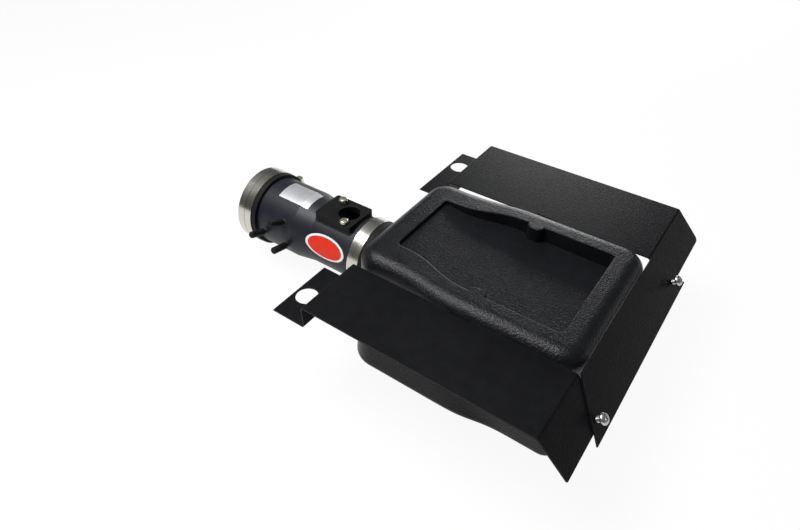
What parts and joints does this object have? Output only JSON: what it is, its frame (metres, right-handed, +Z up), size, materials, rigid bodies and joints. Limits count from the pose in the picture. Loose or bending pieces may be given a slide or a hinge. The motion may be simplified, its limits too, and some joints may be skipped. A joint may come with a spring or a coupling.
{
  "type": "short ram air intake",
  "caption": "Car engine air intake: tapered tube with sensor pad and hose clamps, leading into a moulded filter box flanked by folded sheet shields joined by a sloped front strip.",
  "frame": {"origin": "centre of the box's flat underside", "axes": "+X from the engine end of the tube to the front of the car, +Y towards the wider shield, +Z up"},
  "size_m": [0.5061, 0.3623, 0.1405],
  "materials": {
    "moulded_plastic": "semi-gloss grained black moulding",
    "powder_sheet": "fine textured black powder coat",
    "tube_coat": "satin dark slate powder coat",
    "rubber": "matt black rubber",
    "clamp_steel": "bright rolled steel",
    "stainless_screw": "stainless steel",
    "zinc_screw": "pale yellow zinc plating",
    "brass_insert": "turned brass",
    "bare_aluminium": "turned aluminium",
    "filter_paper": "pleated synthetic paper"
  },
  "bodies": {
    "root": {"air_box": "moulded_plastic", "near_shield": "powder_sheet", "far_shield": "powder_sheet", "end_strip": "powder_sheet", "strip_screws": "stainless_screw", "strip_nuts": "stainless_screw", "shield_screws": "stainless_screw", "box_inserts": "brass_insert", "intake_tube": "tube_coat", "sensor_pad": "tube_coat", "sensor_screws": "zinc_screw", "hose_nipples": "bare_aluminium", "nipple_caps": "rubber", "engine_coupling": "rubber", "filter_neck": "rubber", "filter_media": "filter_paper", "filter_cap": "rubber", "outer_clamp_band": "clamp_steel", "outer_clamp_housing": "clamp_steel", "outer_clamp_screw": "clamp_steel", "inner_clamp_band": "clamp_steel", "inner_clamp_housing": "clamp_steel", "inner_clamp_screw": "clamp_steel", "neck_clamp_band": "clamp_steel", "neck_clamp_housing": "clamp_steel", "neck_clamp_screw": "clamp_steel"}
  },
  "joints": []
}
